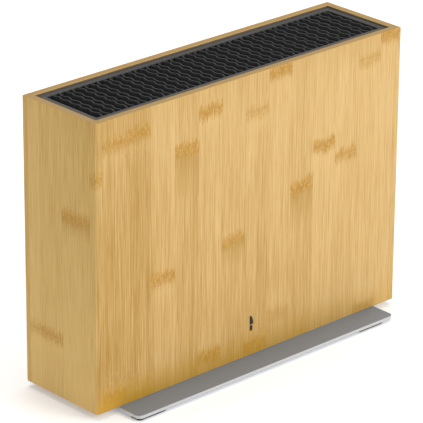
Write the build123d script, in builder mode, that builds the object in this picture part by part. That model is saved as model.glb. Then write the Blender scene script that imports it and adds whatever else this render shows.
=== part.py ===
from build123d import *
import os

os.makedirs("parts", exist_ok=True)

# The origin is on the surface the block stands on, under the middle of the block.
# +X runs along the block's length to its right end, +Y to its back, +Z up.

# Bamboo box
block_length = 340.0
block_depth = 88.0
block_height = 250.0
board_thickness = 7.0
bottom_thickness = 12.0
corner_round = 1.2
rim_round = 0.8

# Stainless base plate
plate_length = 293.0
plate_depth = 136.0
plate_thickness = 3.0
plate_corner = 5.0
plate_edge_break = 0.3

# Rubber feet
foot_length = 30.0
foot_depth = 12.0
foot_thickness = 2.0
foot_corner = 3.0
foot_setback = 1.5
left_foot_inset = 1.5
right_foot_inset = 11.0

# Countersunk screws between the plate and the bottom board
screw_spacing_x = 200.0
screw_spacing_y = 44.0
screw_radius = 2.0
screw_head_radius = 3.8
screw_head_height = 1.8
screw_length = 12.0
screw_clearance = 0.3
pilot_clearance = 0.05
recess_length = 4.0
recess_width = 0.9
recess_depth = 1.2

# Lift-out insert
insert_clearance = 0.4
insert_recess = 1.3
bezel_height = 4.0
bezel_edge_break = 0.4
mouth_length = 313.0
mouth_depth = 61.0
comb_thickness = 4.0
tray_floor = 2.5
tray_wall = 2.5

# Wavy slats
slat_thickness = 1.2
slat_pairs = 24
narrow_pitch = 5.2
wave_length = 12.0
wave_count = 5
wave_height = 0.9
groove_depth = 1.5
groove_side_clearance = 0.2
slat_end_clearance = 0.2
slat_mouth_clearance = 0.15

# Levels and lengths that follow from the driving dimensions
plate_bottom = foot_thickness
block_bottom = plate_bottom + plate_thickness
cavity_floor = block_bottom + bottom_thickness
block_top = block_bottom + block_height
cavity_length = block_length - 2 * board_thickness
cavity_depth = block_depth - 2 * board_thickness
insert_length = cavity_length - 2 * insert_clearance
insert_depth = cavity_depth - 2 * insert_clearance
insert_top = block_top - insert_recess
bezel_bottom = insert_top - bezel_height
slat_bottom = cavity_floor + tray_floor
comb_face = insert_depth / 2 - comb_thickness
slat_half_length = comb_face + groove_depth - slat_end_clearance
slat_mouth_half_length = mouth_depth / 2 - slat_mouth_clearance
pair_pitch = (mouth_length + slat_thickness) / slat_pairs
first_slat = -(mouth_length + slat_thickness) / 2 + pair_pitch - narrow_pitch


def front_and_back_boards():
    """The two long boards, set between the side boards."""
    for label, side in (("front_board", -1), ("back_board", 1)):
        middle = side * (block_depth - board_thickness) / 2
        with BuildPart() as board:
            with BuildSketch(Plane((0, middle, block_bottom))):
                Rectangle(cavity_length, board_thickness)
            extrude(amount=block_height)
            rim_edges = board.faces().sort_by(Axis.Z)[-1].edges().filter_by(Axis.X)
            outer_edge = rim_edges.sort_by(Axis.Y)[0 if side < 0 else -1]
            fillet(outer_edge, radius=rim_round)
        board.part.label = label
        export_step(board.part, f"parts/{label}.step")


def side_boards():
    """The two end boards, which cover the ends of the long boards."""
    for label, side in (("left_board", -1), ("right_board", 1)):
        middle = side * (block_length - board_thickness) / 2
        with BuildPart() as board:
            with BuildSketch(Plane((middle, 0, block_bottom))):
                Rectangle(board_thickness, block_depth)
            extrude(amount=block_height)
            outer = 0 if side < 0 else -1
            fillet(board.edges().filter_by(Axis.Z).group_by(Axis.X)[outer], radius=corner_round)
            rim_edges = board.faces().sort_by(Axis.Z)[-1].edges()
            inner_edge = rim_edges.filter_by(Axis.Y).sort_by(Axis.X)[-1 if side < 0 else 0]
            fillet(rim_edges - [inner_edge], radius=rim_round)
        board.part.label = label
        export_step(board.part, f"parts/{label}.step")


def bottom_board():
    """The floor of the box, glued between the four walls, with pilot holes for the screws."""
    with BuildPart() as board:
        with BuildSketch(Plane.XY.offset(block_bottom)):
            Rectangle(cavity_length, cavity_depth)
        extrude(amount=bottom_thickness)
        with BuildSketch(Plane.XY.offset(block_bottom)):
            with GridLocations(screw_spacing_x, screw_spacing_y, 2, 2):
                Circle(screw_radius + pilot_clearance)
        extrude(amount=screw_length - plate_thickness, mode=Mode.SUBTRACT)
    board.part.label = "bottom_board"
    export_step(board.part, "parts/bottom_board.step")


def base_plate():
    """The steel plate, with four holes countersunk from below."""
    with BuildPart() as plate:
        with BuildSketch(Plane.XY.offset(plate_bottom)):
            RectangleRounded(plate_length, plate_depth, plate_corner)
        extrude(amount=plate_thickness)
        rim = plate.faces().group_by(Axis.Z)[0].edges() + plate.faces().group_by(Axis.Z)[-1].edges()
        chamfer(rim, length=plate_edge_break)
        hole_radius = screw_radius + screw_clearance
        mouth_radius = screw_head_radius + screw_clearance
        with BuildSketch(Plane.XY.offset(plate_bottom)):
            with GridLocations(screw_spacing_x, screw_spacing_y, 2, 2):
                Circle(hole_radius)
        extrude(amount=plate_thickness, mode=Mode.SUBTRACT)
        for place in GridLocations(screw_spacing_x, screw_spacing_y, 2, 2):
            with BuildSketch(Plane((place.position.X, place.position.Y, plate_bottom))):
                Circle(mouth_radius)
            with BuildSketch(Plane((place.position.X, place.position.Y, plate_bottom + screw_head_height))):
                Circle(hole_radius)
            loft(mode=Mode.SUBTRACT)
    plate.part.label = "base_plate"
    export_step(plate.part, "parts/base_plate.step")


def base_screws():
    """Four countersunk screws with cross recesses, heads down."""
    with BuildPart() as screws:
        for place in GridLocations(screw_spacing_x, screw_spacing_y, 2, 2):
            with BuildSketch(Plane((place.position.X, place.position.Y, plate_bottom))):
                Circle(screw_head_radius)
            with BuildSketch(Plane((place.position.X, place.position.Y, plate_bottom + screw_head_height))):
                Circle(screw_radius)
            loft()
            with BuildSketch(Plane((place.position.X, place.position.Y, plate_bottom + screw_head_height))):
                Circle(screw_radius)
            extrude(amount=screw_length - screw_head_height)
            with BuildSketch(Plane((place.position.X, place.position.Y, plate_bottom))):
                Rectangle(recess_length, recess_width)
                Rectangle(recess_width, recess_length)
            extrude(amount=recess_depth, mode=Mode.SUBTRACT)
    screws.part.label = "base_screws"
    export_step(screws.part, "parts/base_screws.step")


def rubber_feet():
    """Four rounded pads under the plate, nearer its left end than its right one."""
    left = -plate_length / 2 + left_foot_inset + foot_length / 2
    right = plate_length / 2 - right_foot_inset - foot_length / 2
    row = (plate_depth - foot_depth) / 2 - foot_setback
    with BuildPart() as feet:
        with BuildSketch(Plane.XY):
            with Locations((left, -row), (right, -row), (left, row), (right, row)):
                RectangleRounded(foot_length, foot_depth, foot_corner)
        extrude(amount=foot_thickness)
    feet.part.label = "rubber_feet"
    export_step(feet.part, "parts/rubber_feet.step")


def insert_bezel():
    """The frame round the mouth of the insert, which holds the slats down by their shoulders."""
    with BuildPart() as bezel:
        with BuildSketch(Plane.XY.offset(bezel_bottom)):
            Rectangle(insert_length, insert_depth)
            Rectangle(mouth_length, mouth_depth, mode=Mode.SUBTRACT)
        extrude(amount=bezel_height)
        chamfer(bezel.faces().sort_by(Axis.Z)[-1].edges(), length=bezel_edge_break)
    bezel.part.label = "insert_bezel"
    export_step(bezel.part, "parts/insert_bezel.step")


def insert_tray():
    """The floor of the insert, turned up at both ends as its end walls."""
    inner_length = insert_length - 2 * tray_wall
    comb_gap = insert_depth - 2 * comb_thickness
    with BuildPart() as tray:
        with BuildSketch(Plane.XY.offset(cavity_floor)):
            Rectangle(insert_length, insert_depth)
        extrude(amount=tray_floor)
        with BuildSketch(Plane.XY.offset(slat_bottom)):
            Rectangle(insert_length, comb_gap)
            Rectangle(inner_length, comb_gap, mode=Mode.SUBTRACT)
        extrude(amount=bezel_bottom - slat_bottom)
    tray.part.label = "insert_tray"
    export_step(tray.part, "parts/insert_tray.step")


def slat_places():
    """Centre line of each slat along X, with the side its middle crest leans to."""
    places = []
    for pair in range(slat_pairs):
        places.append((first_slat + pair * pair_pitch, 1))
        places.append((first_slat + pair * pair_pitch + narrow_pitch, -1))
    return places[:-1]


def combs():
    """The two grooved walls that hold the slats' ends."""
    for label, side in (("front_comb", -1), ("back_comb", 1)):
        middle = side * (insert_depth - comb_thickness) / 2
        groove_middle = side * (comb_face + groove_depth / 2)
        groove_width = slat_thickness + 2 * groove_side_clearance
        grooves = [(centre - lean * wave_height, groove_middle) for centre, lean in slat_places()]
        with BuildPart() as comb:
            with BuildSketch(Plane((0, middle, slat_bottom))):
                Rectangle(insert_length, comb_thickness)
            extrude(amount=bezel_bottom - slat_bottom)
            with BuildSketch(Plane.XY.offset(slat_bottom)):
                with Locations(grooves):
                    Rectangle(groove_width, groove_depth)
            extrude(amount=bezel_bottom - slat_bottom, mode=Mode.SUBTRACT)
        comb.part.label = label
        export_step(comb.part, f"parts/{label}.step")


def wavy_slats():
    """Thin wavy strips on edge: tangent arcs with straight ends, the ends stepped to fit under the bezel."""
    half_wave = wave_length / 2
    quarter_wave = wave_length / 4
    wave_end = wave_count * wave_length / 2
    arc_radius = (quarter_wave**2 + wave_height**2) / (2 * wave_height)
    crossings = [step * half_wave + quarter_wave - wave_end for step in range(2 * wave_count)]
    shoulder = slat_half_length - slat_mouth_half_length
    shoulder_middle = (slat_half_length + slat_mouth_half_length) / 2
    for number, (centre, lean) in enumerate(slat_places(), start=1):
        trough = centre - lean * wave_height
        with BuildPart() as slat:
            with BuildSketch(Plane.XY.offset(slat_bottom)):
                with BuildLine():
                    Line((trough, -slat_half_length), (trough, -wave_end))
                    RadiusArc((trough, -wave_end), (centre, crossings[0]), lean * arc_radius)
                    for step in range(1, len(crossings)):
                        bend = -lean if step % 2 else lean
                        RadiusArc((centre, crossings[step - 1]), (centre, crossings[step]), bend * arc_radius)
                    RadiusArc((centre, crossings[-1]), (trough, wave_end), lean * arc_radius)
                    Line((trough, wave_end), (trough, slat_half_length))
                trace(line_width=slat_thickness)
            extrude(amount=insert_top - slat_bottom)
            with BuildSketch(Plane.XY.offset(bezel_bottom)):
                with Locations((trough, -shoulder_middle), (trough, shoulder_middle)):
                    Rectangle(2 * slat_thickness, shoulder)
            extrude(amount=bezel_height, mode=Mode.SUBTRACT)
        slat.part.label = f"slat_{number:02d}"
        export_step(slat.part, f"parts/slat_{number:02d}.step")


front_and_back_boards()
side_boards()
bottom_board()
base_plate()
base_screws()
rubber_feet()
insert_bezel()
insert_tray()
combs()
wavy_slats()
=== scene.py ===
import math
from collections import namedtuple

import bpy
import numpy as np
from bpy.props import FloatProperty, FloatVectorProperty, IntProperty, PointerProperty
from bpy.types import Operator, Panel, PropertyGroup
from mathutils import Matrix, Vector


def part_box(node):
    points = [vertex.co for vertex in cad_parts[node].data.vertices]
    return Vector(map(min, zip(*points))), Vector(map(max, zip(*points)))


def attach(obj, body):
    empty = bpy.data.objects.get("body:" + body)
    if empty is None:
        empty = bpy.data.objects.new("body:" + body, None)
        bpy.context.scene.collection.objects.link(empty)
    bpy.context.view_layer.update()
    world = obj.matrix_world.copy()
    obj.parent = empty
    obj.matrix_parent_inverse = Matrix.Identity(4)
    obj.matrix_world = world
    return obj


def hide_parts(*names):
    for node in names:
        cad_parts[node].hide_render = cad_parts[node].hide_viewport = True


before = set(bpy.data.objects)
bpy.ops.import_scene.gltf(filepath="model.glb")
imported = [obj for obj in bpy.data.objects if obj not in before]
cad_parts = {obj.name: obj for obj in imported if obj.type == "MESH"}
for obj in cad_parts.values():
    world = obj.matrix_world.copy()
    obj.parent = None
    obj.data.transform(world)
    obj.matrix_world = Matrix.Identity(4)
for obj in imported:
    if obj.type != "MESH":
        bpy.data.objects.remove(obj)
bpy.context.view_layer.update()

bl_info = {
    "name": "Slatted knife block",
    "version": (1, 0, 0),
    "blender": (4, 5, 0),
    "location": "3D View > Sidebar > Knife block",
    "description": "Builds the visible pieces of a bamboo knife block with a lift-out slatted insert",
    "category": "Object",
}

MM = 0.001
NO_KNOT = (-1.0, 0.0)  # what stands in for a missing knot: just over the rim, with no strength

# One bamboo strip of a board: how deep its colour is at the rim and at the foot, from 0, pale, to 1, deep;
# up to two knots, each with its depth below the rim in mm and its strength; and the length in mm of the
# darker run under the first knot. A knot is the mark that a joint of the cane leaves.
Strip = namedtuple("Strip", "rim foot knots tail")
FRONT_STRIPS = (
    Strip(0.50, 0.75, ((22, 0.7), (241, 1.0)), 0),
    Strip(0.58, 0.76, ((20, 0.9), (248, 1.0)), 0),
    Strip(0.27, 0.62, ((151, 0.9),), 0),
    Strip(0.40, 0.60, ((46, 1.0),), 45),
    Strip(0.25, 0.58, ((19, 1.0), (237, 1.0)), 0),
    Strip(0.30, 0.60, ((139, 0.7),), 25),
    Strip(0.30, 0.60, ((33, 0.4), (244, 1.0)), 0),
    Strip(0.25, 0.45, ((5, 1.0), (221, 0.35)), 0),
    Strip(0.32, 0.48, ((112, 1.0),), 42),
    Strip(0.22, 0.33, ((83, 1.0),), 0),
    Strip(0.22, 0.32, ((97, 0.75),), 0),
    Strip(0.20, 0.30, ((19, 0.45), (247, 0.6)), 0),
    Strip(0.20, 0.32, ((3, 1.0),), 0),
)
# The left board's strips from its front edge, and the narrow edges that both end boards show at the front.
# The cuts are the glue lines of the end boards, in mm from the front.
LEFT_STRIPS = (
    Strip(0.50, 0.15, ((48, 0.6),), 0),
    Strip(0.45, 0.08, ((86, 0.8),), 18),
    Strip(0.42, 0.15, ((198, 0.8),), 0),
    Strip(0.28, 0.05, ((198, 0.5),), 0),
    Strip(0.50, 0.40, (), 0),
)
LEFT_EDGE = Strip(0.55, 0.80, ((47, 0.7),), 0)
RIGHT_EDGE = Strip(0.35, 0.40, ((3, 0.8),), 0)
LEFT_CUTS = (7, 41, 68, 82)
RIGHT_CUTS = (14, 40, 66)

# The point in the block that the studio's square lamps face, and the lamps: name, place, side in metres and
# power in watts.
LAMP_TARGET = (0.0, 0.0, 0.12)
LAMPS = (
    ("key_light", (1.0, -2.6, 1.5), 1.4, 40),
    ("top_light", (0.3, 0.4, 2.8), 2.4, 40),
)


class BambooSettings(PropertyGroup):
    strip_width: FloatProperty(
        name="Strip width", description="Width of one glued bamboo strip", default=25.8 * MM, unit="LENGTH"
    )
    first_strip: FloatProperty(
        name="First strip", description="Width left of the first strip after sawing",
        default=25.0 * MM, unit="LENGTH"
    )
    corner_radius: FloatProperty(
        name="Corner radius", description="Rounding of the box's upright corners",
        default=1.2 * MM, unit="LENGTH"
    )
    rim_radius: FloatProperty(
        name="Rim radius", description="Rounding of the rim's outer edge", default=0.8 * MM, unit="LENGTH"
    )
    mouth_radius: FloatProperty(
        name="Mouth radius", description="Rounding of the rim's inner edge", default=0.5 * MM, unit="LENGTH"
    )
    joint_radius: FloatProperty(
        name="Joint radius", description="Softening of the edges that meet in a glue line",
        default=0.12 * MM, unit="LENGTH"
    )
    knot_height: FloatProperty(
        name="Knot height", description="Half the height of a cane joint's mark",
        default=8.8 * MM, unit="LENGTH"
    )
    pale: FloatVectorProperty(
        name="Pale bamboo", description="Colour of the lightest fibres",
        default=(0.665, 0.447, 0.186), subtype="COLOR"
    )
    deep: FloatVectorProperty(
        name="Deep bamboo", description="Colour of the darker fibres",
        default=(0.39, 0.215, 0.036), subtype="COLOR"
    )
    knot: FloatVectorProperty(
        name="Knot", description="Colour of a knot's strokes and the darkest fibres",
        default=(0.36, 0.168, 0.018), subtype="COLOR"
    )
    knot_ground: FloatVectorProperty(
        name="Knot ground", description="Colour between the strokes of a knot",
        default=(0.47, 0.25, 0.032), subtype="COLOR"
    )
    # Painted shade: the golden darkening at the foot of the long sides, where the block stands on the plate.
    foot_shade: FloatVectorProperty(
        name="Oiled foot", description="Colour of the foot, where the end grain drew oil in",
        default=(0.53, 0.288, 0.021), subtype="COLOR"
    )
    # How far up the painted shade at the foot reaches, and how far down the darkening under the rim reaches.
    foot_and_rim_reach: FloatProperty(
        name="Oiled height", description="How far the colours of foot and rim reach",
        default=26.0 * MM, unit="LENGTH"
    )
    end_tint: FloatVectorProperty(
        name="End tint", description="Multiplies the colour of the box's two ends",
        default=(1.0, 0.99, 0.80), subtype="COLOR"
    )
    # Painted shade: darkens the wood inside the box, where it lies in the shade of the walls and the recess.
    inside_shade_tint: FloatVectorProperty(
        name="Inside tint", description="Multiplies the colour of the bare wood inside",
        default=(0.42, 0.40, 0.37), subtype="COLOR"
    )
    # Partly painted shade: the end grain is darker than its own colour, so that the rim's top looks less lit
    # than the sides.
    end_grain: FloatVectorProperty(
        name="End grain", description="Colour of the cut fibre ends on the rim",
        default=(0.37, 0.255, 0.115), subtype="COLOR"
    )
    burn: FloatVectorProperty(
        name="Burned mark", description="Colour of the knife sign burned into the front",
        default=(0.030, 0.011, 0.002), subtype="COLOR"
    )
    mark_height: FloatProperty(
        name="Mark height", description="Height of the burned sign above the box's bottom",
        default=28.0 * MM, unit="LENGTH"
    )


class SteelSettings(PropertyGroup):
    colour: FloatVectorProperty(
        name="Steel", description="Colour of the satin stainless steel",
        default=(0.283, 0.328, 0.400), subtype="COLOR"
    )
    # Painted reflection: the cut edge's brighter colour stands in for the white floor that it mirrors.
    edge_highlight_colour: FloatVectorProperty(
        name="Cut edge", description="Colour of the plate's bright cut edge",
        default=(0.55, 0.55, 0.55), subtype="COLOR"
    )
    metallic: FloatProperty(
        name="Metallic", description="How much the steel mirrors", default=0.35, subtype="FACTOR"
    )
    roughness: FloatProperty(
        name="Roughness", description="Middle roughness of the satin finish", default=0.5, subtype="FACTOR"
    )


class RubberSettings(PropertyGroup):
    colour: FloatVectorProperty(
        name="Rubber", description="Colour of the pads", default=(0.012, 0.012, 0.012), subtype="COLOR"
    )
    corner_radius: FloatProperty(
        name="Pad corner", description="Radius of a pad's corners seen from above",
        default=3.0 * MM, unit="LENGTH"
    )
    edge_radius: FloatProperty(
        name="Pad edge", description="Rounding of a pad's lower edge", default=0.6 * MM, unit="LENGTH"
    )


class InsertSettings(PropertyGroup):
    bezel_colour: FloatVectorProperty(
        name="Bezel", description="Colour of the frame round the mouth",
        default=(0.036, 0.033, 0.030), subtype="COLOR"
    )
    slat_colour: FloatVectorProperty(
        name="Slats", description="Colour of the wavy slats", default=(0.037, 0.037, 0.038), subtype="COLOR"
    )
    mouth_length: FloatProperty(
        name="Mouth length", description="Clear length inside the bezel", default=313.0 * MM, unit="LENGTH"
    )
    mouth_depth: FloatProperty(
        name="Mouth depth", description="Clear depth inside the bezel", default=61.0 * MM, unit="LENGTH"
    )
    bezel_outer_round: FloatProperty(
        name="Bezel outer edge", description="Rounding of its outer edge", default=0.35 * MM, unit="LENGTH"
    )
    bezel_inner_round: FloatProperty(
        name="Bezel inner edge", description="Rounding of its inner edge", default=0.7 * MM, unit="LENGTH"
    )
    wall_corner: FloatProperty(
        name="Wall corner", description="Rounding of the long walls' corners", default=1.0 * MM, unit="LENGTH"
    )
    slat_round: FloatProperty(
        name="Slat top edge", description="Rounding of a slat's top edges", default=0.45 * MM, unit="LENGTH"
    )
    slat_thickness: FloatProperty(
        name="Slat thickness", description="Thickness of a slat", default=1.2 * MM, unit="LENGTH"
    )
    wave_length: FloatProperty(
        name="Wave length", description="Distance from crest to crest along a slat",
        default=12.0 * MM, unit="LENGTH"
    )
    wave_count: IntProperty(
        name="Waves", description="Whole waves along a slat", default=5, min=1
    )
    panel_width: FloatProperty(
        name="Panel width", description="Distance from rib to rib on the long walls",
        default=40.0 * MM, unit="LENGTH"
    )
    rib_width: FloatProperty(
        name="Rib width", description="Width of the ribs between the sunk panels",
        default=6.0 * MM, unit="LENGTH"
    )
    panel_depth: FloatProperty(
        name="Panel depth", description="How far the panels are sunk", default=0.8 * MM, unit="LENGTH"
    )
    panel_slope: FloatProperty(
        name="Panel slope", description="Width of the slope round each sunk panel",
        default=0.8 * MM, unit="LENGTH"
    )
    panel_band: FloatProperty(
        name="Panel band", description="Height of the plain bands over and under the panels",
        default=14.0 * MM, unit="LENGTH"
    )
    groove_depth: FloatProperty(
        name="Groove depth", description="How far a slat's end reaches into a long wall",
        default=1.5 * MM, unit="LENGTH"
    )
    groove_width: FloatProperty(
        name="Groove width", description="Width of the groove that holds a slat's end",
        default=1.6 * MM, unit="LENGTH"
    )
    tongue_clearance: FloatProperty(
        name="Tongue clearance", description="Gap between a slat's top and the bezel at each end",
        default=0.15 * MM, unit="LENGTH"
    )


class StageSettings(PropertyGroup):
    azimuth: FloatProperty(
        name="Azimuth", description="Turn of the camera's direction from +Y, in degrees", default=-43.07
    )
    elevation: FloatProperty(
        name="Elevation", description="Height angle of the camera, in degrees", default=22.78
    )
    roll: FloatProperty(
        name="Roll", description="Tilt of the picture, in degrees", default=0.43
    )
    camera_place: FloatVectorProperty(
        name="Camera place", description="Where the camera stands",
        default=(-1.6317, -1.7398, 1.1228), subtype="TRANSLATION"
    )
    lens: FloatProperty(
        name="Lens", description="Focal length, in millimetres on a 36 mm sensor", default=265.1
    )
    floor_size: FloatProperty(
        name="Floor size", description="Side of the square floor", default=12.0, unit="LENGTH"
    )
    floor_glow: FloatProperty(
        name="Floor glow", description="How strongly the floor is lit from below", default=0.25
    )
    sky: FloatProperty(
        name="Sky", description="Strength of the even white light from all round", default=0.52
    )
    horizon: FloatProperty(
        name="Horizon", description="Strength of the brighter light near the horizon", default=1.0
    )


# ---- meshes


def edge_lines(low, high, low_radius=0.0, high_radius=0.0, cuts=()):
    """Grid lines from low to high: both ends, the cuts, and three lines in each rounded edge. They stand
    radius * (1 - tan a) from the end, for a = 0, 15 and 30 degrees, to be even once the edge is round."""
    steps = 1 - np.tan(np.radians([0, 15, 30]))
    near = low + low_radius * steps if low_radius else []
    far = high - high_radius * steps if high_radius else []
    return np.unique(np.round(np.concatenate([[low], near, cuts, far, [high]]), 7))


def lattice_shell(xs, ys, zs):
    """The closed skin of the box with grid lines xs, ys and zs: its points, and quads that face outwards."""
    index = np.arange(len(xs) * len(ys) * len(zs)).reshape(len(xs), len(ys), len(zs))
    quads = []
    for axis, turned in ((0, True), (1, False), (2, True)):
        for end in (0, -1):
            side = np.take(index, end, axis=axis)
            quad = np.stack([side[:-1, :-1], side[1:, :-1], side[1:, 1:], side[:-1, 1:]], -1)
            outwards = turned if end == 0 else not turned
            quads.append(quad[..., ::-1].reshape(-1, 4) if outwards else quad.reshape(-1, 4))
    faces = np.concatenate(quads)
    used, faces = np.unique(faces, return_inverse=True)
    x, y, z = np.meshgrid(xs, ys, zs, indexing="ij")
    points = np.stack([x.ravel(), y.ravel(), z.ravel()], -1)[used]
    return points, faces.reshape(-1, 4)


def round_edge(points, axes, corner, inwards, radius):
    """Rounds the edge at corner, seen along the third axis. An offset from the rounding's centre that points
    outwards along both axes is scaled by its longer component over its length, which turns square shells
    into quarter circles. radius is one number or one for each point."""
    inwards = np.array(inwards, float)
    centre = np.array(corner) + inwards * np.reshape(radius, (-1, 1))
    outward = (centre - points[:, axes]) * inwards
    inside = (outward > 0).all(1)
    length = np.hypot(outward[:, 0], outward[:, 1])
    share = np.where(inside, outward.max(1) / np.where(length > 0, length, 1), 1)
    moved = centre - inwards * outward * share[:, None]
    points[:, axes] = np.where(inside[:, None], moved, points[:, axes])


def make_piece(name, points, faces, body, replaced, material, smooth_angle=40):
    """A finished mesh in place of a CAD node, on the node's body. Edges over smooth_angle stay sharp."""
    mesh = bpy.data.meshes.new(name)
    mesh.from_pydata(np.asarray(points).tolist(), [], [list(map(int, face)) for face in faces])
    if mesh.validate():
        raise RuntimeError(f"{name} has faces that Blender can't keep")
    mesh.polygons.foreach_set("use_smooth", np.ones(len(mesh.polygons), bool))
    mesh.set_sharp_from_angle(angle=math.radians(smooth_angle))
    piece = bpy.data.objects.new(name, mesh)
    bpy.context.scene.collection.objects.link(piece)
    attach(piece, body)
    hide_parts(replaced)
    mesh.materials.append(material)
    return piece


def at_height(outline, height):
    """A flat outline carried to one height."""
    return np.column_stack([outline, np.full(len(outline), height)])


def rows_of(items, name):
    """The three numbers stored under a name for each of a mesh's vertices or faces, a row for each."""
    values = np.empty(len(items) * 3)
    items.foreach_get(name, values)
    return values.reshape(-1, 3)


def set_face_values(piece, name, values):
    """Stores one number per face under a name that materials read."""
    attribute = piece.data.attributes.new(name, "FLOAT", "FACE")
    attribute.data.foreach_set("value", np.asarray(values, np.float32))


def tube_faces(rings, around, joined=False):
    """Quads between rings of points that each run once around, outwards for rings stacked along their
    normal and points that run anticlockwise, and one many-sided face to close each end. When joined, the
    last ring meets the first one instead."""
    ring, step = np.meshgrid(np.arange(rings - (not joined)), np.arange(around), indexing="ij")
    below, above = ring * around, (ring + 1) % rings * around
    following = (step + 1) % around
    quads = np.stack([below + step, below + following, above + following, above + step], -1).reshape(-1, 4)
    if joined:
        return quads.tolist()
    first = np.arange(around)[::-1]
    last = (rings - 1) * around + np.arange(around)
    return [*quads.tolist(), first.tolist(), last.tolist()]


def rounded_rectangle(length, depth, radius, corner_points=7):
    """Points anticlockwise round a rectangle with round corners: each corner is a quarter circle about
    a centre one radius in from both sides."""
    angles = np.radians(np.linspace(0, 90, corner_points))
    rings = []
    for quarter, (side_x, side_y) in enumerate(((1, 1), (-1, 1), (-1, -1), (1, -1))):
        turn = angles + quarter * math.pi / 2
        centre = np.array([side_x * (length / 2 - radius), side_y * (depth / 2 - radius)])
        rings.append(centre + radius * np.stack([np.cos(turn), np.sin(turn)], -1))
    return np.concatenate(rings)


# ---- materials


def shade(colour, factor):
    """The colour made darker or lighter by one factor."""
    return [factor * value for value in colour]


class Recipe:
    """One material under construction. Each method adds nodes and gives back the socket they end in."""

    def __init__(self, name):
        self.material = bpy.data.materials.new(name)
        self.material.use_nodes = True
        self.tree = self.material.node_tree
        self.shader = self.tree.nodes["Principled BSDF"]
        self.place = self.tree.nodes.new("ShaderNodeTexCoord").outputs["Object"]

    def feed(self, socket, value):
        """Links another node's socket to this one, or sets a number or a colour on it."""
        if isinstance(value, bpy.types.NodeSocket):
            self.tree.links.new(value, socket)
        elif socket.type == "RGBA":
            socket.default_value = (*value, 1.0)
        else:
            socket.default_value = value

    def node(self, kind, inputs=(), **settings):
        """A new node with its settings, fed through the inputs that are named or numbered."""
        made = self.tree.nodes.new(kind)
        for key, value in settings.items():
            setattr(made, key, value)
        for key, value in dict(inputs).items():
            self.feed(made.inputs[key], value)
        return made

    def math(self, operation, first, second=0.0, third=0.0):
        """One step of arithmetic. MULTIPLY_ADD gives first * second + third."""
        inputs = {0: first, 1: second, 2: third}
        return self.node("ShaderNodeMath", inputs, operation=operation).outputs[0]

    def swing(self, value, amount):
        """value from 0..1 carried to half the amount below and above 0."""
        return self.math("MULTIPLY_ADD", value, amount, -amount / 2)

    def stretched(self, scale):
        """The piece's own coordinates, multiplied by scale."""
        return self.node("ShaderNodeMapping", {"Vector": self.place, "Scale": scale}).outputs[0]

    def height(self):
        """How high the point stands above the ground that the whole block stands on."""
        return self.node("ShaderNodeSeparateXYZ", {0: self.place}).outputs["Z"]

    def product(self, *factors):
        """All the factors multiplied together."""
        result = factors[0]
        for factor in factors[1:]:
            result = self.math("MULTIPLY", result, factor)
        return result

    def noise(self, vector, scale, detail, roughness, distortion=0.0):
        """Noise from 0 to 1 with about scale spots to the metre, before the vector's own stretch."""
        amounts = {"Scale": scale, "Detail": detail, "Roughness": roughness, "Distortion": distortion}
        return self.node("ShaderNodeTexNoise", {"Vector": vector, **amounts}).outputs["Fac"]

    def fit(self, value, low, high, to_low=0.0, to_high=1.0, kind="LINEAR"):
        """value carried from low..high to to_low..to_high and kept inside it."""
        inputs = {"Value": value, 1: low, 2: high, 3: to_low, 4: to_high}
        return self.node("ShaderNodeMapRange", inputs, interpolation_type=kind).outputs[0]

    def mix(self, share, first, second, blend="MIX"):
        """Two colours mixed, or the second one applied to the first."""
        made = self.node("ShaderNodeMix", data_type="RGBA", blend_type=blend)
        colours = [socket for socket in made.inputs if socket.type == "RGBA"]
        self.feed(made.inputs[0], share)
        for socket, value in zip(colours, (first, second)):
            self.feed(socket, value)
        return next(socket for socket in made.outputs if socket.type == "RGBA")

    def face_value(self, name):
        """The number that set_face_values stored on the face under this name."""
        return self.node("ShaderNodeAttribute", attribute_name=name).outputs["Fac"]

    def bump(self, height, distance, strength):
        """Small relief: height 1 stands this distance above height 0."""
        inputs = {"Height": height, "Distance": distance, "Strength": strength}
        made = self.node("ShaderNodeBump", inputs)
        self.tree.links.new(made.outputs[0], self.shader.inputs["Normal"])

    def finish(self, colour, roughness, **constants):
        """Feeds the shader and gives the material back. Each constant is set on the socket of its name."""
        self.feed(self.shader.inputs["Base Color"], colour)
        self.feed(self.shader.inputs["Roughness"], roughness)
        for key, value in constants.items():
            self.feed(self.shader.inputs[key.replace("_", " ")], value)
        return self.material


def knot_marks(recipe, height, end):
    """The knot stored for one end of the strip, high or low: how much of it shows, and the height above it.
    Its edges are ragged because each fibre's part of it sits a little higher or lower."""
    half = bpy.context.scene.block_bamboo.knot_height
    columns = recipe.noise(recipe.stretched((1, 1, 0.03)), 700, 1, 0.6)
    slant = recipe.noise(recipe.stretched((1, 1, 0.2)), 30, 1, 0.5)
    ragged = recipe.math("ADD", recipe.swing(columns, 16 * MM), recipe.swing(slant, 8 * MM))
    above = recipe.math("SUBTRACT", height, recipe.face_value(f"knot_{end}"))
    distance = recipe.math("ABSOLUTE", recipe.math("ADD", above, ragged))
    share = recipe.fit(distance, half * 0.2, half, 1.0, 0.0, "SMOOTHSTEP")
    return recipe.product(share, recipe.face_value(f"strength_{end}")), above


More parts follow.
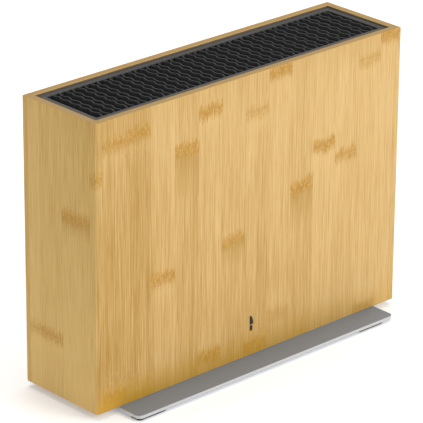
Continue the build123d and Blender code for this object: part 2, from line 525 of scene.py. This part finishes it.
def burned_sign(recipe, centre):
    """1 inside a plain sign of one upright knife about centre, 0 elsewhere. The blade is the half of an
    ellipse beside its straight back, and the handle is a bar below it whose fourth-power curve rounds it."""
    width, blade, handle, gap = 4.4, 8.6, 5.2, 0.3
    split = recipe.node("ShaderNodeSeparateXYZ", {0: recipe.stretched((1 / MM, 1 / MM, 1 / MM))}).outputs
    x = recipe.math("SUBTRACT", split["X"], centre[0] / MM)
    z = recipe.math("SUBTRACT", split["Z"], centre[2] / MM)
    from_back = recipe.math("ADD", x, width / 2)
    across = recipe.math("POWER", recipe.math("DIVIDE", from_back, width), 2.0)
    along = recipe.math("POWER", recipe.math("DIVIDE", z, blade), 2.0)
    curve = recipe.fit(recipe.math("ADD", across, along), 1.05, 0.9)
    steel = recipe.product(curve, recipe.fit(from_back, -0.1, 0.1), recipe.fit(z, 0.1, 0.4))
    across = recipe.math("DIVIDE", recipe.math("ADD", x, width * 0.1), width * 0.36)
    along = recipe.math("DIVIDE", recipe.math("ADD", z, gap + handle / 2), handle / 2)
    grip = recipe.math("ADD", recipe.math("POWER", across, 4.0), recipe.math("POWER", along, 4.0))
    return recipe.math("MAXIMUM", steel, recipe.fit(grip, 1.25, 0.8))


def strip_depth(recipe, height, fibres, broad):
    """How deep the colour is, from 0, pale, to 1, deep: the strip's own depth at the rim carried to that at
    its foot, and moved by fibres, broad streaks and clouds. Also their contrast, which grows with it."""
    low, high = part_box("front_board")
    to_foot = recipe.fit(height, low.z, high.z, 1.0, 0.0)
    from_rim = recipe.product(recipe.face_value("rim_depth"), recipe.math("SUBTRACT", 1.0, to_foot))
    depth = recipe.math("MULTIPLY_ADD", recipe.face_value("foot_depth"), to_foot, from_rim)
    contrast = recipe.math("MULTIPLY_ADD", depth, 0.9, 0.9)
    clouds = recipe.noise(recipe.stretched((1, 1, 0.5)), 14, 2, 0.5)
    streaks = recipe.math("ADD", recipe.swing(fibres, 1.55), recipe.swing(broad, 0.3))
    streaks = recipe.math("ADD", streaks, recipe.swing(clouds, 0.3))
    return recipe.math("MULTIPLY_ADD", streaks, contrast, depth), contrast


def knotted(recipe, colour, height, fibres):
    """The colour with the strip's knots in it, and how much of a knot shows. Under the upper knot the strip
    is darker for the length of its tail, or pale for a short way if it has none, and over the lower knot it
    is pale. A knot is a golden ground with dark and pale strokes."""
    settings = bpy.context.scene.block_bamboo
    strokes = recipe.noise(recipe.stretched((1, 1, 0.3)), 1100, 2, 0.7, 0.5)
    upper, above_upper = knot_marks(recipe, height, "high")
    lower, above_lower = knot_marks(recipe, height, "low")
    below = recipe.math("MULTIPLY", above_upper, -1.0)
    fading = recipe.fit(recipe.math("DIVIDE", below, recipe.face_value("tail")), 0.0, 1.0, 1.0, 0.0)
    start = recipe.fit(below, -3 * MM, 3 * MM)
    tail = recipe.product(fading, start, recipe.fit(fibres, 0.35, 0.6, 0.5, 0.95))
    colour = recipe.mix(tail, colour, settings.deep)
    tailless = recipe.fit(recipe.face_value("tail"), 1 * MM, 2 * MM, 1.0, 0.0)
    under = recipe.product(recipe.fit(below, 4 * MM, 9 * MM), recipe.fit(below, 24 * MM, 12 * MM), tailless)
    over = recipe.product(recipe.fit(above_lower, 4 * MM, 9 * MM), recipe.fit(above_lower, 40 * MM, 15 * MM))
    run = recipe.product(recipe.math("MAXIMUM", under, over), recipe.fit(strokes, 0.56, 0.44, 0.05, 0.3))
    colour = recipe.mix(run, colour, settings.pale)

    knot = recipe.math("MAXIMUM", upper, lower)
    colour = recipe.mix(recipe.product(knot, 0.78), colour, settings.knot_ground)
    dark = recipe.product(knot, recipe.fit(strokes, 0.48, 0.58, 0.0, 0.7))
    pale = recipe.product(knot, recipe.fit(strokes, 0.46, 0.36, 0.0, 0.45))
    return recipe.mix(pale, recipe.mix(dark, colour, settings.knot), settings.pale), knot


def foot_shade_rim_and_ends(recipe, colour, height):
    """The colour, darker near the rim on a pale strip, and a golden painted shade at the foot of a deep one,
    where the block stands on the plate, both on the long sides only, and a little more golden on the box's
    ends."""
    settings = bpy.context.scene.block_bamboo
    low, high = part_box("front_board")
    foot_depth, faces_front_back = recipe.face_value("foot_depth"), recipe.face_value("faces_front_back")
    # Darker under the rim on the pale strips of the long sides.
    near_rim = recipe.fit(height, high.z - settings.foot_and_rim_reach, high.z, 0.0, 0.32)
    darker_near_rim = recipe.product(near_rim, recipe.math("SUBTRACT", 1.0, foot_depth), faces_front_back)
    colour = recipe.mix(darker_near_rim, colour, settings.deep)
    # Painted shade at the foot, golden, where the block stands on the plate.
    near_foot = recipe.fit(height, low.z, low.z + settings.foot_and_rim_reach, 1.15, 0.0)
    colour = recipe.mix(recipe.product(near_foot, foot_depth, faces_front_back), colour, settings.foot_shade)
    return recipe.mix(recipe.math("SUBTRACT", 1.0, faces_front_back), colour, settings.end_tint, "MULTIPLY")


def bamboo(name, sign_centre=None):
    """Glued bamboo strips with upright fibres, thin dark bundles and knots. The rim shows the dots of its cut
    fibre ends, partly painted shade, the glue lines are darker, and the wood inside is darkened by painted
    shade. The sign is burned over all this."""
    settings = bpy.context.scene.block_bamboo
    recipe = Recipe(name)
    height = recipe.height()
    fibres = recipe.noise(recipe.stretched((1, 1, 0.013)), 1600, 3, 0.7)
    broad = recipe.noise(recipe.stretched((1, 1, 0.03)), 130, 2, 0.6)
    bundles = recipe.noise(recipe.stretched((1, 1, 0.022)), 1700, 1, 0.5)
    depth, contrast = strip_depth(recipe, height, fibres, broad)
    colour = recipe.mix(recipe.fit(depth, 0.0, 1.0), settings.pale, settings.deep)
    dark_bundles = recipe.product(recipe.fit(bundles, 0.58, 0.72, 0.0, 0.32), contrast)
    colour = recipe.mix(dark_bundles, colour, settings.knot)
    colour, knot = knotted(recipe, colour, height, fibres)
    colour = foot_shade_rim_and_ends(recipe, colour, height)

    dots = recipe.fit(recipe.noise(recipe.place, 1300, 1, 0.5), 0.5, 0.66, 0.0, 0.4)
    # The rim's end grain: its colour is partly the cut ends' own colour and partly painted shade for the top.
    ends = recipe.mix(recipe.fit(broad, 0.3, 0.7, 0.0, 0.35), settings.end_grain, settings.deep)
    ends = recipe.mix(dots, ends, settings.knot)
    colour = recipe.mix(recipe.face_value("end_grain"), colour, ends)
    colour = recipe.mix(recipe.product(recipe.face_value("seam"), 0.3), colour, settings.knot)
    # Painted shade on the wood inside the box.
    colour = recipe.mix(recipe.face_value("inside"), colour, settings.inside_shade_tint, "MULTIPLY")
    if sign_centre is not None:
        colour = recipe.mix(burned_sign(recipe, sign_centre), colour, settings.burn)
    recipe.bump(recipe.math("MULTIPLY_ADD", knot, 0.5, fibres), 0.05 * MM, 0.6)
    return recipe.finish(colour, recipe.fit(fibres, 0.3, 0.7, 0.42, 0.58), Specular_IOR_Level=0.28)


def satin_steel(name, edge_low=0.0, edge_high=0.0):
    """Satin stainless steel: fine brushed lines along X, slight changes of sheen and faint smudges. Between
    the heights edge_low and edge_high it is the smoother cut edge, whose brighter colour is a painted
    reflection."""
    settings = bpy.context.scene.block_steel
    recipe = Recipe(name)
    height = recipe.height()
    brushed = recipe.noise(recipe.stretched((0.02, 1, 1)), 2600, 3, 0.6)
    smudges = recipe.noise(recipe.place, 26, 3, 0.6)
    blur = 0.15 * MM
    above_low = recipe.fit(height, edge_low, edge_low + blur)
    edge = recipe.product(above_low, recipe.fit(height, edge_high, edge_high - blur))
    lines = recipe.fit(brushed, 0.3, 0.7, 0.0, 0.5)
    colour = recipe.mix(lines, settings.colour, shade(settings.colour, 0.82))
    # Painted reflection: the cut edge is coloured brighter.
    colour = recipe.mix(edge, colour, settings.edge_highlight_colour)
    roughness = recipe.math("MULTIPLY_ADD", brushed, 0.16, settings.roughness - 0.11)
    roughness = recipe.math("MULTIPLY_ADD", smudges, 0.10, roughness)
    roughness = recipe.math("MULTIPLY_ADD", edge, -0.15, roughness)
    recipe.bump(brushed, 0.01 * MM, 0.5)
    return recipe.finish(colour, roughness, Metallic=settings.metallic)


def matt_plastic(name, base, roughness, sheen):
    """Moulded plastic with a fine spark-eroded grain and a little dust that makes patches paler."""
    recipe = Recipe(name)
    grain = recipe.noise(recipe.place, 2000, 3, 0.6)
    patches = recipe.noise(recipe.place, 40, 2, 0.5)
    colour = recipe.mix(recipe.fit(grain, 0.3, 0.7), shade(base, 0.85), shade(base, 1.15))
    colour = recipe.mix(recipe.fit(patches, 0.35, 0.7, 0.0, 0.25), colour, shade(base, 1.35))
    rough = recipe.math("MULTIPLY_ADD", grain, 0.14, roughness - 0.07)
    recipe.bump(grain, 0.03 * MM, 0.5)
    return recipe.finish(colour, rough, Specular_IOR_Level=sheen)


def drawn_plastic(name, base, roughness):
    """Extruded slat plastic: faint upright draw lines and a soft sheen."""
    recipe = Recipe(name)
    lines = recipe.noise(recipe.stretched((1, 1, 0.01)), 1500, 2, 0.5)
    patches = recipe.noise(recipe.place, 55, 2, 0.5)
    colour = recipe.mix(recipe.fit(lines, 0.3, 0.7), shade(base, 0.85), shade(base, 1.2))
    rough = recipe.math("MULTIPLY_ADD", patches, 0.16, roughness - 0.08)
    recipe.bump(lines, 0.02 * MM, 0.5)
    return recipe.finish(colour, rough, Specular_IOR_Level=0.34)


def black_rubber(name):
    """Soft rubber pad: matt, with a fine grain and a grey bloom."""
    base = bpy.context.scene.block_rubber.colour
    recipe = Recipe(name)
    grain = recipe.noise(recipe.place, 2200, 3, 0.6)
    bloom = recipe.noise(recipe.place, 120, 2, 0.6)
    colour = recipe.mix(recipe.fit(bloom, 0.4, 0.75, 0.0, 0.5), base, shade(base, 3))
    recipe.bump(grain, 0.04 * MM, 0.6)
    return recipe.finish(colour, recipe.fit(grain, 0.3, 0.7, 0.72, 0.9), Specular_IOR_Level=0.3)


def give(node, material):
    """Puts one material on a CAD node that keeps its own shape."""
    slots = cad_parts[node].data.materials
    slots.clear()
    slots.append(material)


# ---- bamboo boards


def strip_cuts(low, high, first, width):
    """Where the glued strips meet, from low to high."""
    return np.arange(low + first, high - 0.2 * width, width)


def random_strips(count, seed):
    """Strips for a board with no told marks: each has a depth of colour, and knots one cane joint apart."""
    rng = np.random.default_rng(seed)
    joint_spacing = 218
    strips = []
    for _ in range(count):
        first = rng.uniform(4, joint_spacing)
        knots = ((first, rng.uniform(0.5, 1)), (first + joint_spacing, rng.uniform(0.5, 1)))
        strips.append(Strip(rng.uniform(0.2, 0.5), rng.uniform(0.3, 0.65), knots, rng.choice([0, 15, 40])))
    return strips


def mark_strips(piece, axis, cuts, strips, inner, rim, edge_strip=None):
    """Stores on each face what the bamboo material reads: its strip's depths of colour, knots and tail, and
    whether it is a glue line, cut end grain, on one of the long sides, or on the board's inner side."""
    centres, normals = rows_of(piece.data.polygons, "center"), rows_of(piece.data.polygons, "normal")
    side_axis = 1 - axis
    chosen = np.searchsorted(cuts, centres[:, axis])
    if edge_strip is not None:
        strips = (*strips, edge_strip)
        chosen = np.where(np.abs(normals[:, axis]) > 0.8, len(strips) - 1, chosen)
    knots = [(*strip.knots, NO_KNOT, NO_KNOT)[:2] for strip in strips]
    columns = {
        "rim_depth": [strip.rim for strip in strips],
        "foot_depth": [strip.foot for strip in strips],
        "knot_high": [rim - upper[0] * MM for upper, _ in knots],
        "knot_low": [rim - lower[0] * MM for _, lower in knots],
        "strength_high": [upper[1] for upper, _ in knots],
        "strength_low": [lower[1] for _, lower in knots],
        "tail": [max(strip.tail, 0.1) * MM for strip in strips],
    }
    for name, column in columns.items():
        set_face_values(piece, name, np.array(column)[chosen])
    on_face = np.abs(normals[:, side_axis]) > 0.8
    near_cut = np.abs(centres[:, axis, None] - cuts).min(1) < 0.1 * MM
    set_face_values(piece, "seam", near_cut & on_face)
    set_face_values(piece, "end_grain", np.abs(normals[:, 2]) > 0.93)
    set_face_values(piece, "faces_front_back", np.abs(normals[:, 1]) > 0.5)
    # The inner side is marked so the material can paint shade on it.
    set_face_values(piece, "inside", on_face & (np.abs(centres[:, side_axis] - inner) < 0.05 * MM))


def doubled(cuts, gap=0.08 * MM):
    """Two grid lines at each cut, with a glue line between them."""
    return np.concatenate([cuts - gap, cuts + gap])


def long_board(node, outer_side, strips, material):
    """A front or back board: the box's skin with strips along X, its outer edges round and its joints
    just softened. outer_side is -1 for the front board and 1 for the back one."""
    settings = bpy.context.scene.block_bamboo
    low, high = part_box(node)
    cuts = strip_cuts(low.x, high.x, settings.first_strip, settings.strip_width)
    rim, mouth, joint = settings.rim_radius, settings.mouth_radius, settings.joint_radius
    radii = (rim, mouth) if outer_side < 0 else (mouth, rim)
    points, faces = lattice_shell(
        edge_lines(low.x, high.x, joint, joint, doubled(cuts)),
        edge_lines(low.y, high.y, *radii),
        edge_lines(low.z, high.z, mouth, rim, np.linspace(low.z, high.z, 9)[1:-1]),
    )
    outer, inner = (low.y, high.y) if outer_side < 0 else (high.y, low.y)
    round_edge(points, [1, 2], (outer, high.z), (-outer_side, -1), rim)
    round_edge(points, [1, 2], (inner, high.z), (outer_side, -1), mouth)
    round_edge(points, [1, 2], (outer, low.z), (-outer_side, 1), mouth)
    for end, inwards in ((low.x, 1), (high.x, -1)):
        round_edge(points, [0, 1], (end, outer), (inwards, -outer_side), joint)
    piece = make_piece(f"{node}_bamboo", points, faces, "block", node, material)
    mark_strips(piece, 0, cuts, strips, inner, high.z)


def end_board(node, outer_side, strips, cuts_from_front, edge_strip, material):
    """A left or right board: the box's skin with strips along Y. Its outer corners and rim are round,
    and its inner rim edge is round only between the long boards, so that the joints stay closed."""
    settings = bpy.context.scene.block_bamboo
    low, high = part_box(node)
    thickness = high.x - low.x
    cuts = low.y + np.array(cuts_from_front) * MM
    corner, rim, mouth = settings.corner_radius, settings.rim_radius, settings.mouth_radius
    joint = settings.joint_radius
    ends = np.array([low.y + thickness, high.y - thickness])
    radii = (corner, mouth) if outer_side < 0 else (mouth, corner)
    points, faces = lattice_shell(
        edge_lines(low.x, high.x, *radii),
        edge_lines(low.y, high.y, corner, corner, np.concatenate([doubled(cuts), doubled(ends, 0.01 * MM)])),
        edge_lines(low.z, high.z, mouth, rim, np.linspace(low.z, high.z, 9)[1:-1]),
    )
    outer, inner = (low.x, high.x) if outer_side < 0 else (high.x, low.x)
    between = np.abs(points[:, 1]) < ends[1]
    round_edge(points, [0, 2], (outer, high.z), (-outer_side, -1), rim)
    round_edge(points, [0, 2], (inner, high.z), (outer_side, -1), np.where(between, mouth, joint))
    round_edge(points, [0, 2], (outer, low.z), (-outer_side, 1), mouth)
    for edge, inwards in ((low.y, 1), (high.y, -1)):
        round_edge(points, [1, 2], (edge, high.z), (inwards, -1), rim)
        round_edge(points, [1, 2], (edge, low.z), (inwards, 1), mouth)
        round_edge(points, [0, 1], (outer, edge), (-outer_side, inwards), corner)
        round_edge(points, [0, 1], (inner, edge), (outer_side, inwards), joint)
    piece = make_piece(f"{node}_bamboo", points, faces, "block", node, material)
    mark_strips(piece, 1, cuts, strips, inner, high.z, edge_strip)


class BLOCK_OT_boards(Operator):
    """Makes the four bamboo walls of the box and finishes its floor"""

    bl_idname = "knife_block.boards"
    bl_label = "Bamboo boards"

    def execute(self, context):
        settings = context.scene.block_bamboo
        low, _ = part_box("front_board")
        sign_centre = (0.0, low.y, low.z + settings.mark_height)
        plain = bamboo("bamboo_strips")
        long_board("front_board", -1, FRONT_STRIPS, bamboo("bamboo_front", sign_centre))
        long_board("back_board", 1, random_strips(len(FRONT_STRIPS), seed=11), plain)
        end_board("left_board", -1, LEFT_STRIPS, LEFT_CUTS, LEFT_EDGE, plain)
        right_strips = random_strips(len(RIGHT_CUTS) + 1, seed=31)
        end_board("right_board", 1, right_strips, RIGHT_CUTS, RIGHT_EDGE, plain)
        give("bottom_board", plain)
        return {"FINISHED"}


# ---- base


class BLOCK_OT_base_plate(Operator):
    """Gives the base plate and its screws their satin steel"""

    bl_idname = "knife_block.base_plate"
    bl_label = "Base plate and screws"

    def execute(self, context):
        low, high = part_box("base_plate")
        give("base_plate", satin_steel("satin_steel", low.z + 0.2 * MM, high.z - 0.1 * MM))
        give("base_screws", satin_steel("screw_steel"))
        return {"FINISHED"}


def pad(name, low, high, material):
    """One rubber pad: a rounded rectangle carried up a profile that is drawn in at the bottom edge by a
    quarter circle and at the top edge by a small bevel, and closed above and below."""
    settings = bpy.context.scene.block_rubber
    middle = (low + high) / 2
    size = high - low
    angles = np.radians(np.linspace(90, 0, 7))
    insets = np.append(settings.edge_radius * (1 - np.cos(angles)), [0.0, 0.15 * MM])
    heights = np.append(settings.edge_radius * (1 - np.sin(angles)), [size[2] - 0.15 * MM, size[2]])
    rings = []
    for inset, height in zip(insets, heights):
        outline = rounded_rectangle(size[0] - 2 * inset, size[1] - 2 * inset, settings.corner_radius - inset)
        rings.append(at_height(outline + middle[:2], low[2] + height))
    faces = tube_faces(len(rings), len(rings[0]))
    make_piece(name, np.concatenate(rings), faces, "block", "rubber_feet", material)


class BLOCK_OT_pads(Operator):
    """Makes the four rubber pads under the plate"""

    bl_idname = "knife_block.pads"
    bl_label = "Rubber pads"

    def execute(self, context):
        material = black_rubber("black_rubber")
        points = rows_of(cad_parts["rubber_feet"].data.vertices, "co")
        for x_name, right in (("left", False), ("right", True)):
            for y_name, behind in (("front", False), ("back", True)):
                mine = ((points[:, 0] > 0) == right) & ((points[:, 1] > 0) == behind)
                if not mine.any():
                    raise RuntimeError("the rubber feet don't stand in four corners")
                pad(f"{y_name}_{x_name}_pad", points[mine].min(0), points[mine].max(0), material)
        return {"FINISHED"}


# ---- insert


def bezel(material):
    """The frame round the insert's mouth. Its profile climbs the outer side, turns over a small quarter
    circle, crosses the flat top and goes down a larger quarter circle to the inner side. It is carried round
    a rounded rectangle whose corners grow inwards, and it meets itself underneath."""
    settings = bpy.context.scene.block_insert
    low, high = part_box("insert_bezel")
    size = high - low
    width = (size.x - settings.mouth_length) / 2
    outer_round, inner_round = settings.bezel_outer_round, settings.bezel_inner_round
    turn = np.radians(np.linspace(0, 90, 6))
    climb, fall = outer_round * (1 - np.sin(turn)), inner_round * (1 - np.cos(turn))
    outer_arc, inner_arc = outer_round * (1 - np.cos(turn)), inner_round * (1 - np.sin(turn))
    offsets = np.concatenate([[0], outer_arc, [width * 0.35, width * 0.62], width - inner_arc, [width]])
    heights = np.concatenate([[0], size.z - climb, [size.z, size.z], size.z - fall, [0]])
    rings = []
    for offset, height in zip(offsets, heights):
        radius = (0.6 + 0.4 * offset / width) * MM
        outline = rounded_rectangle(size.x - 2 * offset, size.y - 2 * offset, radius)
        rings.append(at_height(outline, low.z + height))
    faces = tube_faces(len(rings), len(rings[0]), joined=True)
    make_piece("bezel", np.concatenate(rings), faces, "insert", "insert_bezel", material)


class BLOCK_OT_bezel(Operator):
    """Makes the frame round the mouth of the insert"""

    bl_idname = "knife_block.bezel"
    bl_label = "Bezel"

    def execute(self, context):
        bezel(matt_plastic("bezel_plastic", context.scene.block_insert.bezel_colour, 0.38, 0.5))
        return {"FINISHED"}


def slat_places(thickness):
    """The slats' names in order, each with its middle along X, the side that its middle crest leans to and
    the height of its waves."""
    places = []
    for number, name in enumerate(sorted(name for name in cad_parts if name.startswith("slat_"))):
        low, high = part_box(name)
        places.append((name, (low.x + high.x) / 2, (1, -1)[number % 2], (high.x - low.x - thickness) / 2))
    return places


def long_wall(node, outer_side, material):
    """The insert's front or back wall, with a groove for each slat's end inside and ribs between sunk
    panels outside. One outline, seen from above, is carried up the wall. It has four points in each panel,
    where the slopes start and end, and four in each groove. Between the plain bands, the points inside a
    panel are drawn in by its depth. The back wall is the front one's outline, turned by half a turn."""
    settings = bpy.context.scene.block_insert
    low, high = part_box(node)
    middle = (low + high) / 2
    half_length, half_thickness = high.x - middle.x, high.y - middle.y
    count = round(2 * half_length / settings.panel_width)
    pitch = 2 * half_length / count
    rib, slope = settings.rib_width / 2, settings.panel_slope
    flanks = np.array([rib, rib + slope, pitch - rib - slope, pitch - rib])
    panels = (np.arange(count)[:, None] * pitch + flanks).ravel() - half_length
    places = slat_places(settings.slat_thickness)
    troughs = np.array([centre - lean * wave_height for _, centre, lean, wave_height in places])
    troughs = np.sort(-outer_side * (troughs - middle.x))[::-1]
    grooves = (troughs[:, None] + settings.groove_width / 2 * np.array([1, 1, -1, -1])).ravel()
    groove_bottom = half_thickness - settings.groove_depth

    turn = np.radians(np.linspace(0, 90, 5))
    arc_x, arc_y = settings.wall_corner * (1 - np.cos(turn)), settings.wall_corner * (1 - np.sin(turn))
    inner_y = np.tile([half_thickness, groove_bottom, groove_bottom, half_thickness], len(troughs))
    outer_y = np.full(len(panels), -half_thickness)
    x = [arc_x - half_length, panels, half_length - arc_x[::-1], [half_length], grooves, [-half_length]]
    y = [arc_y - half_thickness, outer_y, arc_y[::-1] - half_thickness]
    y = [*y, [half_thickness], inner_y, [half_thickness]]
    x, y = np.concatenate(x), np.concatenate(y)
    sunk = np.zeros(len(x))
    sunk[len(turn) : len(turn) + len(panels)] = np.tile([0, 1, 1, 0], count)
    foot, brow = low.z + settings.panel_band, high.z - settings.panel_band
    levels = [low.z, foot, foot + slope, brow - slope, brow, high.z]
    depths = settings.panel_depth * np.array([0, 0, 1, 1, 0, 0])
    rings = []
    for level, depth in zip(levels, depths):
        turned = -outer_side * np.stack([x, y + depth * sunk], -1)
        rings.append(at_height(np.array(middle.xy) + turned, level))
    faces = tube_faces(len(rings), len(x))
    points = np.concatenate(rings)
    make_piece(f"{node}_wall", points, faces, "insert", node, material, smooth_angle=20)


class BLOCK_OT_insert_walls(Operator):
    """Makes the insert's long walls, grooved inside and ribbed outside, and finishes its tray"""

    bl_idname = "knife_block.insert_walls"
    bl_label = "Insert walls"

    def execute(self, context):
        base = shade(context.scene.block_insert.slat_colour, 0.5)
        material = matt_plastic("insert_plastic", base, 0.5, 0.32)
        long_wall("front_comb", -1, material)
        long_wall("back_comb", 1, material)
        give("insert_tray", material)
        return {"FINISHED"}


def slat_stations(half_length, tongue, wave_end, wave_length):
    """Places along a slat: twelve to each wave, the straight ends, and a pair at each shoulder."""
    steps = int(round(2 * wave_end / wave_length)) * 12 + 1
    waves = np.linspace(-wave_end, wave_end, steps)
    edge = np.array([half_length, half_length - 0.3 * MM, tongue + 0.01 * MM, tongue])
    return np.sort(np.concatenate([-edge, waves, edge]))


def slat(node, centre, lean, wave_height, material):
    """One wavy slat: a strip's cross-section, with a rounded top, carried along the line
    x = centre + lean * height * cos(2 pi y / length), which runs straight on past its last trough."""
    settings = bpy.context.scene.block_insert
    low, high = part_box(node)
    bezel_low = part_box("insert_bezel")[0].z
    half = settings.slat_thickness / 2
    wave_end = settings.wave_count * settings.wave_length / 2
    tongue = settings.mouth_depth / 2 - settings.tongue_clearance
    y = slat_stations(high.y, tongue, wave_end, settings.wave_length)
    phase = 2 * math.pi * np.clip(y, -wave_end, wave_end) / settings.wave_length
    x = centre + lean * wave_height * np.cos(phase)
    slope = -lean * wave_height * 2 * math.pi / settings.wave_length * np.sin(phase)
    normal = np.stack([np.ones_like(y), -slope], -1) / np.hypot(1, slope)[:, None]
    top = np.where(np.abs(y) <= tongue + 0.001 * MM, high.z, bezel_low)

    turn = np.radians(np.linspace(0, 90, 5))
    sideways = np.append(half, half - settings.slat_round * (1 - np.cos(turn)))
    levels = [np.full_like(y, low.z), *(top - settings.slat_round * (1 - sine) for sine in np.sin(turn))]
    rings = []
    for side, level in zip([*-sideways, *sideways[::-1]], [*levels, *levels[::-1]]):
        rings.append(np.column_stack([x + side * normal[:, 0], y + side * normal[:, 1], level]))
    points = np.stack(rings, 1).reshape(-1, 3)
    faces = tube_faces(len(y), len(rings))
    make_piece(node.replace("slat", "wavy_slat"), points, faces, "insert", node, material)


class BLOCK_OT_slats(Operator):
    """Makes the wavy slats, leaning to the right and to the left by turns"""

    bl_idname = "knife_block.slats"
    bl_label = "Wavy slats"

    def execute(self, context):
        material = drawn_plastic("slat_plastic", context.scene.block_insert.slat_colour, 0.68)
        for place in slat_places(context.scene.block_insert.slat_thickness):
            slat(*place, material)
        return {"FINISHED"}


# ---- stage


def area_light(name, place, size, power):
    """A square studio light at place that faces the block."""
    light = bpy.data.lights.new(name, "AREA")
    light.size = size
    light.energy = power
    lamp = bpy.data.objects.new(name, light)
    lamp.location = place
    lamp.rotation_euler = (Vector(LAMP_TARGET) - Vector(place)).to_track_quat("-Z", "Y").to_euler()
    bpy.context.scene.collection.objects.link(lamp)


def light_table(name, glow):
    """A seamless white floor that is lit a little from below, with a barely visible tooth."""
    recipe = Recipe(name)
    tooth = recipe.noise(recipe.place, 900, 2, 0.5)
    recipe.bump(tooth, 0.02 * MM, 0.2)
    colour = recipe.mix(tooth, (0.90, 0.90, 0.90), (0.92, 0.92, 0.92))
    return recipe.finish(colour, 0.9, Emission_Color=(1.0, 1.0, 1.0), Emission_Strength=glow)


def studio_world(name, sky, horizon):
    """Even white light from all round, brighter near the horizon, like a lit back wall. It fades from one
    strength to the other between two heights on the sphere of directions."""
    world = bpy.data.worlds.new(name)
    world.use_nodes = True
    nodes, links = world.node_tree.nodes, world.node_tree.links
    split = nodes.new("ShaderNodeSeparateXYZ")
    links.new(nodes.new("ShaderNodeTexCoord").outputs["Generated"], split.inputs[0])
    band = nodes.new("ShaderNodeMapRange")
    fade_low, fade_high = 0.10, 0.30
    for socket, value in zip(band.inputs[1:5], (fade_low, fade_high, horizon, sky)):
        socket.default_value = value
    links.new(split.outputs["Z"], band.inputs["Value"])
    nodes["Background"].inputs["Color"].default_value = (1.0, 1.0, 1.0, 1.0)
    links.new(band.outputs[0], nodes["Background"].inputs["Strength"])
    return world


class BLOCK_OT_stage(Operator):
    """Lays the pale floor, sets the soft lights and stands the camera up"""

    bl_idname = "knife_block.stage"
    bl_label = "Floor, lights and camera"

    def execute(self, context):
        scene = context.scene
        settings = scene.block_stage
        half = settings.floor_size / 2
        under = -0.05 * MM  # just clear of the pads, so that no two faces coincide
        corners = [(x, y, under) for x, y in ((-half, -half), (half, -half), (half, half), (-half, half))]
        mesh = bpy.data.meshes.new("floor")
        mesh.from_pydata(corners, [], [(0, 1, 2, 3)])
        mesh.materials.append(light_table("white_floor", settings.floor_glow))
        floor = bpy.data.objects.new("floor", mesh)
        scene.collection.objects.link(floor)

        scene.world = studio_world("studio", settings.sky, settings.horizon)
        for lamp in LAMPS:
            area_light(*lamp)

        data = bpy.data.cameras.new("camera")
        data.lens = settings.lens
        data.sensor_width = 36.0
        data.clip_end = 50.0
        camera = bpy.data.objects.new("camera", data)
        azimuth, elevation = math.radians(settings.azimuth), math.radians(settings.elevation)
        level = math.cos(elevation)
        back = Vector((math.sin(azimuth) * level, -math.cos(azimuth) * level, math.sin(elevation)))
        turn = back.to_track_quat("Z", "Y").to_matrix() @ Matrix.Rotation(math.radians(settings.roll), 3, "Z")
        camera.matrix_world = Matrix.Translation(settings.camera_place) @ turn.to_4x4()
        scene.collection.objects.link(camera)
        scene.camera = camera
        scene.view_settings.view_transform = "Standard"
        return {"FINISHED"}


# ---- panel and registration


class BLOCK_PT_panel(Panel):
    """Lists the pieces of the knife block"""

    bl_idname = "BLOCK_PT_panel"
    bl_label = "Knife block"
    bl_space_type = "VIEW_3D"
    bl_region_type = "UI"
    bl_category = "Knife block"

    def draw(self, context):
        """One box of settings for each group, then a button for each operator."""
        for group, settings in SETTINGS.items():
            box = self.layout.box()
            box.label(text=settings.__name__.replace("Settings", ""))
            for key in settings.__annotations__:
                box.prop(getattr(context.scene, group), key)
        for operator in OPERATORS:
            self.layout.operator(operator.bl_idname)


SETTINGS = {
    "block_bamboo": BambooSettings,
    "block_steel": SteelSettings,
    "block_rubber": RubberSettings,
    "block_insert": InsertSettings,
    "block_stage": StageSettings,
}
OPERATORS = (
    BLOCK_OT_boards,
    BLOCK_OT_base_plate,
    BLOCK_OT_pads,
    BLOCK_OT_bezel,
    BLOCK_OT_insert_walls,
    BLOCK_OT_slats,
    BLOCK_OT_stage,
)
CLASSES = (*SETTINGS.values(), *OPERATORS, BLOCK_PT_panel)


def register():
    """Adds the classes, and hangs each settings group on the scene."""
    for item in CLASSES:
        bpy.utils.register_class(item)
    for group, settings in SETTINGS.items():
        setattr(bpy.types.Scene, group, PointerProperty(type=settings))


def unregister():
    """Takes away what register added."""
    for group in SETTINGS:
        delattr(bpy.types.Scene, group)
    for item in reversed(CLASSES):
        bpy.utils.unregister_class(item)


def main():
    """Builds every piece and the stage."""
    register()
    bpy.ops.knife_block.boards()
    bpy.ops.knife_block.base_plate()
    bpy.ops.knife_block.pads()
    bpy.ops.knife_block.bezel()
    bpy.ops.knife_block.insert_walls()
    bpy.ops.knife_block.slats()
    bpy.ops.knife_block.stage()


if __name__ == "__main__":
    main()
